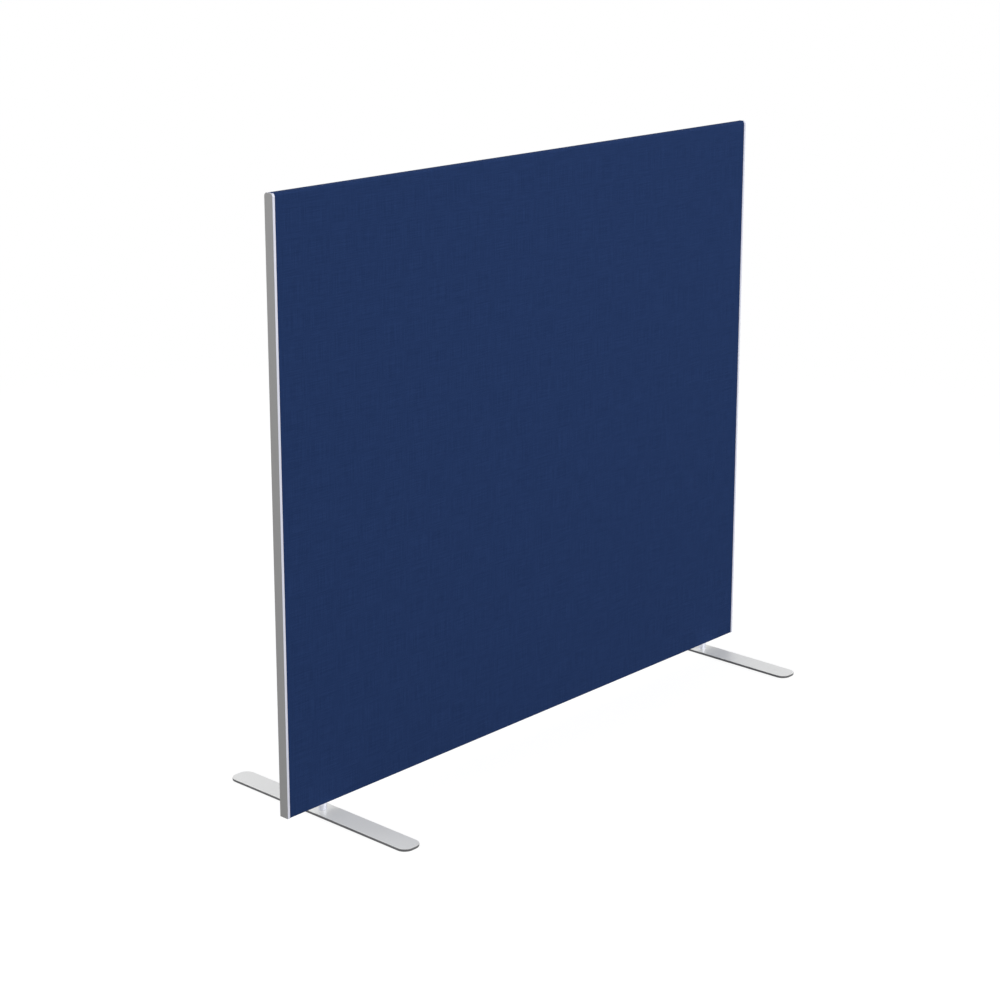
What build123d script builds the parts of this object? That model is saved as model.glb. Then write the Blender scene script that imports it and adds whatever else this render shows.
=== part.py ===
from build123d import *
import os

# Acoustic divider screen: a fabric covered panel with silver edge trims, on two flat steel feet.
# X runs along the panel, the front faces -Y and Z is up.
# The origin is on the floor, below the middle of the panel. Sizes are in millimetres.

# Panel, measured over its edge trims
panel_width = 1400.0
panel_height = 1200.0
panel_thickness = 22.0
top_corner_radius = 7.0

# Feet, each a flat bar under a short round post
foot_length = 500.0
foot_width = 50.0
foot_thickness = 5.0
foot_end_radius = 20.0
foot_edge_radius = 0.8
foot_inset = 100.0
post_diameter = 16.0
post_height = 14.0
post_chamfer = 0.5
washer_thickness = 1.0
pad_diameter = 24.0
pad_thickness = 1.5
pad_inset = 35.0

# Layers, from the lips of the trims inwards
lip_thickness = 1.0
fabric_thickness = 1.0
facing_thickness = 2.0

# Timber frame
top_rail_height = 38.0
bottom_rail_height = 50.0
stile_width = 45.0
centre_stile_width = 36.0
head_margin = 3.0
dowel_diameter = 6.0
dowel_length = 30.0
side_dowel_shares = (0.42, 0.8)
centre_dowel_shares = (-0.25, 0.25)

# Edge trims: an aluminium extrusion with a barbed fin, and a moulded cap on its top end.
# The cap stands a little above the fabric. Its lips thin round the top corners and end there.
web_thickness = 1.6
lip_depth = 5.5
trim_edge_radius = 0.6
fin_length = 9.0
fin_thickness = 1.8
barb_height = 0.5
barb_length = 2.0
barb_pitch = 2.6
barb_count = 3
cap_margin = 3.0
cap_top_rise = 0.3
cap_lip_reach = 4.0
tongue_height = 6.0
tongue_length = 8.0

# Hems of the fabric under the panel, and their staples
hem_gap = 2.0
hem_hole_diameter = 8.0
staple_pitch = 84.0
staple_crown = 10.0
staple_leg = 9.0
staple_wire_width = 1.2
staple_wire_thickness = 0.6
staple_end_margin = 30.0

# Fixing of each foot: a steel strip let into the bottom rail, with a press nut
strip_length = 120.0
strip_thickness = 3.0
nut_body_diameter = 10.0
nut_body_height = 8.0
nut_collar_diameter = 8.0
strip_screw_diameter = 3.5
strip_screw_head_diameter = 7.0
strip_screw_length = 20.0
strip_screw_rim = 0.3
strip_screw_spacing = 92.0
bolt_diameter = 6.0
bolt_head_diameter = 12.0
bolt_head_rim = 0.3
bolt_length = 30.0
bolt_recess = 0.2
bolt_tip_chamfer = 0.6
socket_across_flats = 4.0
socket_depth = 2.2

# Clearances
running_clearance = 0.08
close_clearance = 0.05
cover_clearance = 0.1
groove_clearance = 0.1
infill_clearance = 0.3
bore_clearance = 0.4
overrun = 5.0

# Heights, from the floor up
foot_bottom = pad_thickness
foot_top = foot_bottom + foot_thickness
post_top = foot_top + post_height
panel_bottom = post_top + washer_thickness
panel_top = panel_bottom + panel_height
fabric_top = panel_top - cap_top_rise
core_bottom = panel_bottom + fabric_thickness
core_top = fabric_top - fabric_thickness
bottom_rail_top = core_bottom + bottom_rail_height
top_rail_bottom = core_top - top_rail_height

# Distances from the middle of the panel, along Y and along X
panel_half = panel_thickness / 2
fabric_half = panel_half - lip_thickness
core_half = fabric_half - fabric_thickness
frame_half = core_half - facing_thickness
panel_end = panel_width / 2
fabric_end = panel_end - web_thickness
core_end = fabric_end - fabric_thickness
foot_place = panel_end - foot_inset

# Corner radii in the end view
fabric_corner_radius = top_corner_radius - lip_thickness
core_corner_radius = fabric_corner_radius - fabric_thickness

# Head of the top rail, which the facings butt against
head_bottom = core_top - core_corner_radius - head_margin

# Top caps, and the groove that takes the fins and the tongues of the caps
cap_bottom = panel_top - top_corner_radius - cap_margin
tongue_top = cap_bottom + tongue_height
groove_half = fin_thickness / 2 + barb_height + groove_clearance
groove_top = tongue_top + groove_clearance
groove_end = fabric_end - fin_length - groove_clearance

# Seat of the fixing strips and the ends of the bolts
strip_top = core_bottom + strip_thickness
nut_top = strip_top + nut_body_height
bolt_low = foot_bottom + bolt_recess
bolt_high = bolt_low + bolt_length

sides = {"left": -1, "right": 1}


def block(x_range, y_range, z_range):
    """Box between a low and a high value on each axis."""
    ranges = (x_range, y_range, z_range)
    size = [high - low for low, high in ranges]
    middle = [(low + high) / 2 for low, high in ranges]
    return Pos(*middle) * Box(*size)


def rod(x, y, z_range, diameter):
    """Upright cylinder between two heights."""
    low, high = z_range
    return Pos(x, y, (low + high) / 2) * Cylinder(diameter / 2, high - low)


def rounded_slab(x_range, half_thickness, z_range, corner_radius):
    """Upright slab whose two long top edges are rounded in the end view."""
    slab = block(x_range, (-half_thickness, half_thickness), z_range)
    top_edges = slab.edges().filter_by(Axis.X).group_by(Axis.Z)[-1]
    return fillet(top_edges, corner_radius)


def countersunk_body(x, low, rim, high, head_diameter, shank_diameter):
    """Round body standing on its head: a straight rim, a 45 degree cone and a shank."""
    head_radius = head_diameter / 2
    shank_radius = shank_diameter / 2
    cone_top = rim + head_radius - shank_radius
    outline = Polyline(
        (0, 0, low),
        (head_radius, 0, low),
        (head_radius, 0, rim),
        (shank_radius, 0, cone_top),
        (shank_radius, 0, high),
        (0, 0, high),
        close=True,
    )
    return Pos(x, 0, 0) * revolve(make_face(outline), Axis.Z)


def save(name, shape):
    """Write one sub-part, or one group of like solids, as its own file."""
    export_step(shape, f"parts/{name}.step")


# Groove in both ends of the core for the fins of the edge trims
def end_groove(side):
    outer = side * (panel_end + overrun)
    inner = side * groove_end
    return block(sorted((outer, inner)), (-groove_half, groove_half), (panel_bottom - overrun, groove_top))


grooves = [end_groove(side) for side in sides.values()]

# Places of the fixings along the panel
foot_places = [side * foot_place for side in sides.values()]
strip_screw_places = [
    place + end * strip_screw_spacing / 2 for place in foot_places for end in (-1, 1)
]


# Dowels between the stiles and the two rails
def stile_range(name):
    """Low and high X of a stile."""
    if name == "centre":
        return (-centre_stile_width / 2, centre_stile_width / 2)
    if name == "left":
        return (-core_end, -core_end + stile_width)
    return (core_end - stile_width, core_end)


def dowel_places():
    """X of each dowel. The side stiles keep theirs clear of the groove."""
    depths = [share * stile_width for share in side_dowel_shares]
    places = [side * (core_end - depth) for side in sides.values() for depth in depths]
    return places + [share * centre_stile_width for share in centre_dowel_shares]


dowel_ranges = [
    (joint - dowel_length / 2, joint + dowel_length / 2) for joint in (bottom_rail_top, top_rail_bottom)
]


def dowels(diameter, extra_length):
    """All dowels, or the holes that they fill when they are drawn larger."""
    return [
        rod(x, 0, (low - extra_length, high + extra_length), diameter)
        for x in dowel_places()
        for low, high in dowel_ranges
    ]


dowel_holes = dowels(dowel_diameter + 2 * close_clearance, close_clearance)


# Staples that hold the hems of the fabric to the bottom rail
def staple(x, y):
    """Flat wire staple: a crown in line with the hem and two legs up into the rail."""
    half_crown = staple_crown / 2
    half_wire = staple_wire_width / 2
    y_range = (y - half_wire, y + half_wire)
    crown_top = panel_bottom + staple_wire_thickness
    leg_top = crown_top + staple_leg
    shape = block((x - half_crown, x + half_crown), y_range, (panel_bottom, crown_top))
    for end in (-half_crown, half_crown - staple_wire_thickness):
        shape += block((x + end, x + end + staple_wire_thickness), y_range, (panel_bottom, leg_top))
    return shape


def staple_places():
    """X of the staples, evenly spaced, with none under a foot's fixing strip."""
    first = -core_end + staple_end_margin
    span = -2 * first
    steps = round(span / staple_pitch)
    places = [first + index * span / steps for index in range(steps + 1)]
    blocked = (strip_length + staple_crown) / 2
    return [x for x in places if min(abs(x - place) for place in foot_places) > blocked]


staple_line = (hem_gap / 2 + frame_half) / 2
staples = [staple(x, y) for x in staple_places() for y in (-staple_line, staple_line)]


# Timber frame: two rails over the full width, and three stiles between them
def top_rail():
    """Rail with a wider rounded head, rebated on both faces for the facings."""
    head = rounded_slab(
        (-core_end, core_end),
        core_half - cover_clearance,
        (head_bottom, core_top - cover_clearance),
        core_corner_radius - cover_clearance,
    )
    web = block((-core_end, core_end), (-frame_half, frame_half), (top_rail_bottom, head_bottom))
    return head + web - grooves - dowel_holes


def bottom_rail():
    """Rail with a seat for each fixing strip, its nut and its screws."""
    rail = block((-core_end, core_end), (-frame_half, frame_half), (core_bottom, bottom_rail_top))
    for x in foot_places:
        half_strip = strip_length / 2
        rail -= block(
            (x - half_strip, x + half_strip),
            (-frame_half - overrun, frame_half + overrun),
            (core_bottom - overrun, strip_top),
        )
        rail -= rod(x, 0, (core_bottom, nut_top + bore_clearance), nut_body_diameter + bore_clearance)
    for x in strip_screw_places:
        top = core_bottom + strip_screw_length + close_clearance
        rail -= rod(x, 0, (core_bottom, top), strip_screw_diameter + 2 * close_clearance)
    return rail - grooves - dowel_holes - staples


def stile(name):
    """Upright between the rails."""
    shape = block(stile_range(name), (-frame_half, frame_half), (bottom_rail_top, top_rail_bottom))
    return shape - grooves - dowel_holes


save("frame_top_rail", top_rail())
save("frame_bottom_rail", bottom_rail())
for name in ("left", "centre", "right"):
    save(f"frame_{name}_stile", stile(name))
save("frame_dowels", Compound(children=dowels(dowel_diameter, 0)))


# Sound absorbing slabs between the stiles, and a felt facing on each face of the frame
def infill(low_stile, high_stile):
    low = stile_range(low_stile)[1] + infill_clearance
    high = stile_range(high_stile)[0] - infill_clearance
    z_range = (bottom_rail_top + infill_clearance, top_rail_bottom - infill_clearance)
    return block((low, high), (-frame_half, frame_half), z_range)


def facing(side):
    y_range = sorted((side * frame_half, side * core_half))
    return block((-core_end, core_end), y_range, (core_bottom, head_bottom))


save("infill_left", infill("left", "centre"))
save("infill_right", infill("centre", "right"))
save("front_facing", facing(-1))
save("back_facing", facing(1))


# Fabric cover: one piece over front, top and back, turned in at the ends and under the panel
def fabric_cover():
    outer = rounded_slab(
        (-fabric_end, fabric_end), fabric_half, (panel_bottom, fabric_top), fabric_corner_radius
    )
    inside = rounded_slab((-core_end, core_end), core_half, (core_bottom, core_top), core_corner_radius)
    opening = block(
        (-fabric_end - overrun, fabric_end + overrun),
        (-hem_gap / 2, hem_gap / 2),
        (panel_bottom - overrun, core_bottom),
    )
    bolt_holes = [rod(x, 0, (panel_bottom - overrun, core_bottom), hem_hole_diameter) for x in foot_places]
    return outer - inside - opening - grooves - bolt_holes - staples


save("fabric_cover", fabric_cover())
save("hem_staples", Compound(children=staples))


# Edge trims
def edge_profile():
    """Extrusion on the left end: web, two lips over the fabric, and a fin with barbs."""
    fin_half = fin_thickness / 2
    fin_tip = web_thickness + fin_length
    points = [
        (0, panel_half),
        (lip_depth, panel_half),
        (lip_depth, fabric_half),
        (web_thickness, fabric_half),
        (web_thickness, fin_half),
    ]
    first_barb = fin_tip - barb_count * barb_pitch
    for index in range(barb_count):
        root = first_barb + index * barb_pitch
        points += [(root, fin_half), (root, fin_half + barb_height), (root + barb_length, fin_half)]
    points.append((fin_tip, fin_half))
    points += [(depth, -offset) for depth, offset in reversed(points)]
    outline = [(depth - panel_end, offset, panel_bottom) for depth, offset in points]
    profile = extrude(make_face(Polyline(*outline, close=True)), cap_bottom - panel_bottom, dir=(0, 0, 1))
    outer_edges = profile.edges().filter_by(Axis.Z).group_by(Axis.X)[0]
    return fillet(outer_edges, trim_edge_radius)


def top_cap():
    """Cap on the left trim: a lip round each top corner, and a tongue that fits the groove."""
    shell = rounded_slab(
        (-panel_end, -panel_end + lip_depth), panel_half, (cap_bottom, panel_top), top_corner_radius
    )
    end_edges = shell.faces().sort_by(Axis.X)[0].edges().sort_by(Axis.Z)[1:]
    shell = fillet(end_edges, trim_edge_radius)
    inside = (-fabric_end, -fabric_end + lip_depth + overrun)
    shell -= rounded_slab(
        inside,
        fabric_half + cover_clearance,
        (cap_bottom - overrun, fabric_top + cover_clearance),
        fabric_corner_radius + cover_clearance,
    )
    lip_end = panel_half - cap_lip_reach
    shell -= block(inside, (-lip_end, lip_end), (cap_bottom - overrun, panel_top + overrun))
    tongue = block(
        (-fabric_end, -fabric_end + tongue_length),
        (-fin_thickness / 2, fin_thickness / 2),
        (cap_bottom, tongue_top),
    )
    return shell + tongue


# The right end is the left end turned half round
for name, turn in (("left", 0), ("right", 180)):
    save(f"{name}_edge_profile", Rot(0, 0, turn) * edge_profile())
    save(f"{name}_top_cap", Rot(0, 0, turn) * top_cap())


# Fixing strips in the bottom rail, with their screws and press nuts
def strip_screw(x, low, extra_diameter, extra_length):
    """Wood screw, or its hole when it is drawn larger."""
    rim = core_bottom + strip_screw_rim
    high = core_bottom + strip_screw_length + extra_length
    head = strip_screw_head_diameter + extra_diameter
    return countersunk_body(x, low, rim, high, head, strip_screw_diameter + extra_diameter)


def fixing_strip(x):
    half_strip = strip_length / 2
    strip = block((x - half_strip, x + half_strip), (-frame_half, frame_half), (core_bottom, strip_top))
    strip -= rod(
        x, 0, (core_bottom - overrun, strip_top + overrun), nut_collar_diameter + 2 * close_clearance
    )
    for end in (-1, 1):
        place = x + end * strip_screw_spacing / 2
        strip -= strip_screw(place, core_bottom - overrun, 2 * close_clearance, 0)
    return strip


def press_nut(x):
    """Collar pressed through the strip from above, under a plain round body."""
    nut = rod(x, 0, (core_bottom, strip_top), nut_collar_diameter)
    nut += rod(x, 0, (strip_top, nut_top), nut_body_diameter)
    bore = rod(x, 0, (core_bottom - overrun, nut_top + overrun), bolt_diameter + 2 * close_clearance)
    return nut - bore


def foot_bolt(x):
    """Countersunk socket bolt: the foot turns on its shank."""
    rim = bolt_low + bolt_head_rim
    bolt = countersunk_body(x, bolt_low, rim, bolt_high, bolt_head_diameter, bolt_diameter)
    bolt = chamfer(bolt.edges().sort_by(Axis.Z)[-1], bolt_tip_chamfer)
    hexagon = RegularPolygon(socket_across_flats / 2, 6, major_radius=False)
    socket = Pos(x, 0, bolt_low) * extrude(hexagon, socket_depth)
    return bolt - socket


def swivel_washer(x):
    """Nylon washer between the post and the hems of the fabric."""
    washer = rod(x, 0, (post_top, panel_bottom), post_diameter)
    return washer - rod(
        x, 0, (post_top - overrun, panel_bottom + overrun), bolt_diameter + 2 * cover_clearance
    )


# Feet
def foot_plate(x):
    """Flat bar with rounded ends and a countersunk hole from below."""
    half_width = foot_width / 2
    half_length = foot_length / 2
    plate = block((x - half_width, x + half_width), (-half_length, half_length), (foot_bottom, foot_top))
    plate = fillet(plate.edges().filter_by(Axis.Z), foot_end_radius)
    rims = plate.faces().filter_by(Axis.Z).edges()
    plate = fillet(rims, foot_edge_radius)
    hole = countersunk_body(
        x,
        foot_bottom - overrun,
        bolt_low + bolt_head_rim,
        foot_top + overrun,
        bolt_head_diameter + 2 * running_clearance,
        bolt_diameter + 2 * running_clearance,
    )
    return plate - hole


def foot_post(x):
    """Turned spacer with broken edges and a bore for the bolt."""
    post = rod(x, 0, (foot_top, post_top), post_diameter)
    post = chamfer(post.edges().filter_by(GeomType.CIRCLE), post_chamfer)
    return post - rod(
        x, 0, (foot_top - overrun, post_top + overrun), bolt_diameter + 2 * running_clearance
    )


def foot_pads(x):
    """Two stick-on rubber pads under one foot."""
    places = (-foot_length / 2 + pad_inset, foot_length / 2 - pad_inset)
    return Compound(children=[rod(x, y, (0, pad_thickness), pad_diameter) for y in places])


save(
    "fixing_strip_screws",
    Compound(children=[strip_screw(x, core_bottom, 0, 0) for x in strip_screw_places]),
)
for name, side in sides.items():
    place = side * foot_place
    save(f"{name}_fixing_strip", fixing_strip(place))
    save(f"{name}_press_nut", press_nut(place))
    save(f"{name}_foot_bolt", foot_bolt(place))
    save(f"{name}_swivel_washer", swivel_washer(place))
    save(f"{name}_foot_post", foot_post(place))
    save(f"{name}_foot_plate", foot_plate(place))
    save(f"{name}_foot_pads", foot_pads(place))
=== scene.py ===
import math

import bmesh
import bpy
import numpy as np
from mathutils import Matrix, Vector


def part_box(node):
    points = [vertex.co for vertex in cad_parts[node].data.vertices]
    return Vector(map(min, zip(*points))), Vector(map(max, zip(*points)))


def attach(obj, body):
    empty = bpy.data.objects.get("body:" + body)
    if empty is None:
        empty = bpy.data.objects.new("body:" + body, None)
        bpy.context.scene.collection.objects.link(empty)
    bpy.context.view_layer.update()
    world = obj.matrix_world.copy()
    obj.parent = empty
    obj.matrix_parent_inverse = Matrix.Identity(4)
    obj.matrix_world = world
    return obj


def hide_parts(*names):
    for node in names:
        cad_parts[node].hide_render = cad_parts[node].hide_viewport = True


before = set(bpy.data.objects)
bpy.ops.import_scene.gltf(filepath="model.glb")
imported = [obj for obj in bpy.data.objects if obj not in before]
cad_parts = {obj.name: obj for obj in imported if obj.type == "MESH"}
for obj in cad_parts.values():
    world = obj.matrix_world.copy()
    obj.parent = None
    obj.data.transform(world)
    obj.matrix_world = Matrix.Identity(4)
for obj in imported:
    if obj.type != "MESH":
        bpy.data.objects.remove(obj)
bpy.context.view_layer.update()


# Timber frame
# Two rails and three stiles of planed softwood, doweled and glued at their joints.
# The rails' grain runs along the panel, and the stiles' grain runs upright.
def put(tree, kind, options=(), **inputs):
    """Node in a tree. An input is named with _ for a space, or by a letter: a is the first."""
    made = tree.nodes.new(f"ShaderNode{kind}")
    for name, value in dict(options).items():
        setattr(made, name, value)
    for name, value in inputs.items():
        socket = made.inputs["abcdefgh".index(name) if len(name) == 1 else name.replace("_", " ")]
        if isinstance(value, bpy.types.NodeSocket):
            tree.links.new(value, socket)
        else:
            socket.default_value = value
    return made


def maths(tree, operation, a, b=0.0, c=0.0):
    """Output of one Math node."""
    return put(tree, "Math", {"operation": operation}, a=a, b=b, c=c).outputs[0]


def vectors(tree, operation, **inputs):
    """Output of one Vector Math node."""
    return put(tree, "VectorMath", {"operation": operation}, **inputs).outputs[0]


def scaled(tree, vector, by):
    """Vector multiplied by three factors, to stretch a pattern along an axis."""
    return vectors(tree, "MULTIPLY", a=vector, b=by)


def noise(tree, vector, scale, detail, roughness=0.5):
    """Value of a soft random pattern, with scale in bumps a metre."""
    return put(tree, "TexNoise", Vector=vector, Scale=scale, Detail=detail, Roughness=roughness).outputs[0]


def strayed(tree, vector, pattern, scale, reach):
    """Vector moved about by a soft random pattern, up to half the reach along each axis."""
    stray = put(tree, "TexNoise", Vector=pattern, Scale=scale, Detail=2.0).outputs["Color"]
    centred = vectors(tree, "SUBTRACT", a=stray, b=(0.5, 0.5, 0.5))
    return vectors(tree, "MULTIPLY_ADD", a=centred, b=reach, c=vector)


def between(tree, value, low, high):
    """Value taken smoothly from 0 at low to 1 at high."""
    smooth = {"interpolation_type": "SMOOTHSTEP"}
    return put(tree, "MapRange", smooth, Value=value, From_Min=low, From_Max=high).outputs[0]


def mixed(tree, share, first, second):
    """Colour between two others."""
    return put(tree, "Mix", {"data_type": "RGBA"}, a=share, g=first, h=second).outputs[2]


def effect(name, outputs, **inputs):
    """Empty node group: returns its tree, the sockets that it is given and its output node.

    It is given a Place, and a number or a colour for each other input.
    """
    tree = bpy.data.node_groups.new(name, "ShaderNodeTree")
    tree.interface.new_socket("Place", in_out="INPUT", socket_type="NodeSocketVector")
    for label, value in inputs.items():
        kind = "NodeSocketFloat" if isinstance(value, float) else "NodeSocketColor"
        socket = tree.interface.new_socket(label.replace("_", " "), in_out="INPUT", socket_type=kind)
        socket.default_value = value
    for label, kind in outputs.items():
        tree.interface.new_socket(label, in_out="OUTPUT", socket_type=f"NodeSocket{kind}")
    return tree, tree.nodes.new("NodeGroupInput").outputs, tree.nodes.new("NodeGroupOutput")


def use(tree, group, **inputs):
    """Outputs of a node group placed in a material with its own values."""
    return put(tree, "Group", {"node_tree": group}, **inputs).outputs


def cleared(holder):
    """Empty node tree of a material or of the world."""
    holder.use_nodes = True
    holder.node_tree.nodes.clear()
    return holder.node_tree


def finish(name, **plain):
    """Material with a Principled shader and its plain values: returns it, its tree and the shader."""
    material = bpy.data.materials.new(name)
    tree = cleared(material)
    shader = put(tree, "BsdfPrincipled", **plain)
    put(tree, "OutputMaterial", Surface=shader.outputs[0])
    return material, tree, shader


def feed(tree, node, **links):
    """Links values that vary over the surface to a node's inputs."""
    for name, value in links.items():
        tree.links.new(value, node.inputs[name.replace("_", " ")])


def bumps(tree, height, strength, depth):
    """Normal of a surface with a height on it, where a height of 1 stands for the depth."""
    return put(tree, "Bump", Strength=strength, Distance=depth, Height=height).outputs[0]


def place(tree, turn=None):
    """Coordinates of the piece itself, in metres, turned where a turn is given."""
    point = put(tree, "TexCoord").outputs["Object"]
    return put(tree, "Mapping", Vector=point, Rotation=turn).outputs[0] if turn else point


black = (0, 0, 0, 1)
white = (1, 1, 1, 1)


def wood_grain():
    """Growth rings about a far pith, wavering slowly along Z, with fine pores."""
    tree, given, result = effect(
        "wood_grain",
        {"Colour": "Color", "Height": "Float"},
        Early_wood=white,
        Late_wood=white,
        Rings_a_metre=0.0,
        Pith_distance=0.0,
    )
    point = given["Place"]
    wavy = strayed(tree, point, scaled(tree, point, (6, 6, 1.2)), 1.0, (0.02, 0.02, 0))
    parts = put(tree, "SeparateXYZ", a=wavy).outputs
    across = maths(tree, "ADD", parts[0], given["Pith distance"])
    squared = maths(tree, "MULTIPLY_ADD", parts[1], parts[1], maths(tree, "MULTIPLY", across, across))
    turns = maths(tree, "MULTIPLY", maths(tree, "SQRT", squared), given["Rings a metre"])
    ring = maths(tree, "FRACT", turns)
    dark = maths(tree, "MULTIPLY", between(tree, ring, 0.35, 0.86), between(tree, ring, 1.0, 0.93))
    pores = noise(tree, scaled(tree, point, (1, 1, 0.02)), 2200.0, 2.0)
    shade = maths(tree, "MULTIPLY_ADD", between(tree, pores, 0.45, 0.75), 0.25, dark)
    wood = mixed(tree, shade, given["Early wood"], given["Late wood"])
    feed(tree, result, Colour=wood, Height=maths(tree, "MULTIPLY_ADD", dark, 0.5, pores))
    return tree


grain = wood_grain()
lengthwise = (0, math.pi / 2, 0)


def planed_timber(name, turn=None):
    """Sawn and planed pine, its grain turned from Z to the length of the piece."""
    material, tree, shader = finish(name, Roughness=0.62)
    point = place(tree, turn)
    wood = use(
        tree,
        grain,
        Place=point,
        Early_wood=(0.70, 0.50, 0.29, 1),
        Late_wood=(0.50, 0.29, 0.13, 1),
        Rings_a_metre=420.0,
        Pith_distance=0.06,
    )
    planer = noise(tree, scaled(tree, point, (20, 20, 400)), 1.0, 1.0)
    height = maths(tree, "MULTIPLY_ADD", planer, 0.3, wood["Height"])
    feed(tree, shader, Base_Color=wood["Colour"], Normal=bumps(tree, height, 0.35, 0.0001))
    return material


def coat(material, slot_name, *nodes):
    """Gives CAD nodes their finish."""
    for node in nodes:
        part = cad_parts[node]
        for held in part.material_slots:
            held.material = material


coat(planed_timber("rail_pine", lengthwise), "timber", "frame_top_rail", "frame_bottom_rail")
coat(planed_timber("stile_pine"), "timber", "frame_left_stile", "frame_centre_stile", "frame_right_stile")


# Dowels
# Twelve beech dowels glue the stiles to the rails, four in each stile.
# Each is pressed with flutes that let the glue rise, and its ends are broken.
hair = 1e-6  # places closer than this count as the same
sharp_turn = math.radians(35)


def set_up(name, data):
    """Object in the scene that shows a mesh, a lamp or the camera."""
    made = bpy.data.objects.new(name, data)
    bpy.context.scene.collection.objects.link(made)
    return made


def piece(name, points, faces, uv=None, **attributes):
    """Closed mesh piece: doubled points are merged and the faces turned outwards.

    An attribute has a value for each point. Where faces turn by more than the sharp turn, the
    edge between them is sharp.
    """
    mesh = bpy.data.meshes.new(name)
    mesh.from_pydata(points.reshape(-1, 3).tolist(), [], faces.tolist())
    if uv is not None:
        corner = np.empty(len(mesh.loops), dtype=np.int32)
        mesh.loops.foreach_get("vertex_index", corner)
        layer = mesh.uv_layers.new(name="cloth")
        layer.data.foreach_set("uv", uv[corner].astype(np.float32).ravel())
    for label, values in attributes.items():
        made = mesh.attributes.new(label, "FLOAT", "POINT")
        made.data.foreach_set("value", values.astype(np.float32))
    work = bmesh.new()
    work.from_mesh(mesh)
    bmesh.ops.remove_doubles(work, verts=work.verts, dist=hair / 10)
    bmesh.ops.recalc_face_normals(work, faces=work.faces)
    work.to_mesh(mesh)
    work.free()
    mesh.polygons.foreach_set("use_smooth", np.ones(len(mesh.polygons), dtype=bool))
    mesh.set_sharp_from_angle(angle=sharp_turn)
    return set_up(name, mesh)


def grid_faces(rows, columns, wrap_rows=False, wrap_columns=False, grids=1):
    """Quads of like grids of points: each joins (i, j), (i + 1, j), (i + 1, j + 1) and (i, j + 1)."""
    i = np.arange(rows if wrap_rows else rows - 1)[:, None]
    j = np.arange(columns if wrap_columns else columns - 1)[None, :]
    i2, j2 = (i + 1) % rows, (j + 1) % columns
    quads = np.stack([i * columns + j, i2 * columns + j, i2 * columns + j2, i * columns + j2], axis=-1)
    first = np.arange(grids)[:, None, None] * rows * columns
    return (quads.reshape(-1, 4) + first).reshape(-1, 4)


def rounded(corners, radii, steps, hold=0.0, closed=False):
    """Line through corners, each turned on an arc that touches both its sides.

    For a turn by the angle t, the arc starts r tan(t / 2) before the corner. With hold, a
    point stands that far outside each end of an arc, so that a flat side is shaded flat.
    """
    corners = np.asarray(corners, float)
    made = []
    for index, (corner, radius) in enumerate(zip(corners, radii)):
        ends = not closed and index in (0, len(corners) - 1)
        if ends or radius == 0:
            made.append(corner[None])
            continue
        into = corner - corners[index - 1]
        out = corners[(index + 1) % len(corners)] - corner
        into, out = into / np.linalg.norm(into), out / np.linalg.norm(out)
        turn = math.acos(np.clip(into @ out, -1, 1))
        side = out - (out @ into) * into
        side = side / np.linalg.norm(side)
        angle = np.linspace(0, turn, steps + 1)[:, None]
        start = corner - radius * math.tan(turn / 2) * into
        arc = start + radius * (np.sin(angle) * into + (1 - np.cos(angle)) * side)
        if hold:
            arc = np.concatenate([arc[:1] - hold * into, arc, arc[-1:] + hold * out])
        made.append(arc)
    return np.concatenate(made)


def turned(name, outline, centres, steps, ripple=None, ring=False):
    """Like bodies turned on upright axes from an outline of (r, z): x + r cos a, y + r sin a, z.

    ripple(r, z, a) returns r and z changed round the axis, as flutes or a thread change them.
    A ring's outline closes on itself, round a bore.
    """
    r, z = (np.repeat(outline[:, k : k + 1], steps, axis=1) for k in (0, 1))
    a = np.broadcast_to(np.arange(steps) * 2 * math.pi / steps, r.shape)
    if ripple:
        r, z = ripple(r, z, a)
    bodies = [np.dstack([x + r * np.cos(a), y + r * np.sin(a), z]) for x, y in centres]
    faces = grid_faces(*r.shape, wrap_rows=ring, wrap_columns=True, grids=len(bodies))
    return piece(name, np.stack(bodies), faces)


def fit_out(made, material, body, node):
    """Gives a new piece its finish and its body, and hides the CAD node that it stands for."""
    made.data.materials.append(material)
    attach(made, body)
    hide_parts(node)


def centres_of(node, apart=0.004):
    """Upright axes of like solids in one node: its points along X, parted where a gap is over apart."""
    xs = np.sort([vertex.co.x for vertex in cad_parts[node].data.vertices])
    groups = np.split(xs, np.nonzero(np.diff(xs) > apart)[0] + 1)
    return [((group[0] + group[-1]) / 2, 0.0) for group in groups]


dowel_low, dowel_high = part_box("frame_dowels")
dowel_radius = 0.003
dowel_length = 2 * (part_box("frame_bottom_rail")[1].z - dowel_low.z)
dowel_chamfer = 0.0007
flute_count = 20
flute_depth = 0.00016


def flutes(r, z, a):
    """Radius less a depth times the sine of the flutes to the fourth power, on the side only."""
    side = (r > dowel_radius - hair) * np.sin(a * flute_count / 2) ** 4
    return r - flute_depth * side, z


def beech():
    """Pale close wood with short dark flecks along its grain."""
    material, tree, shader = finish("beech", Roughness=0.55)
    point = place(tree)
    wood = use(
        tree,
        grain,
        Place=point,
        Early_wood=(0.70, 0.47, 0.29, 1),
        Late_wood=(0.58, 0.35, 0.19, 1),
        Rings_a_metre=700.0,
        Pith_distance=0.11,
    )
    flecks = between(tree, noise(tree, scaled(tree, point, (1, 1, 0.12)), 1500.0, 1.0), 0.63, 0.7)
    colour = mixed(tree, flecks, wood["Colour"], (0.36, 0.19, 0.09, 1))
    feed(tree, shader, Base_Color=colour, Normal=bumps(tree, wood["Height"], 0.2, 0.0001))
    return material


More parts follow.
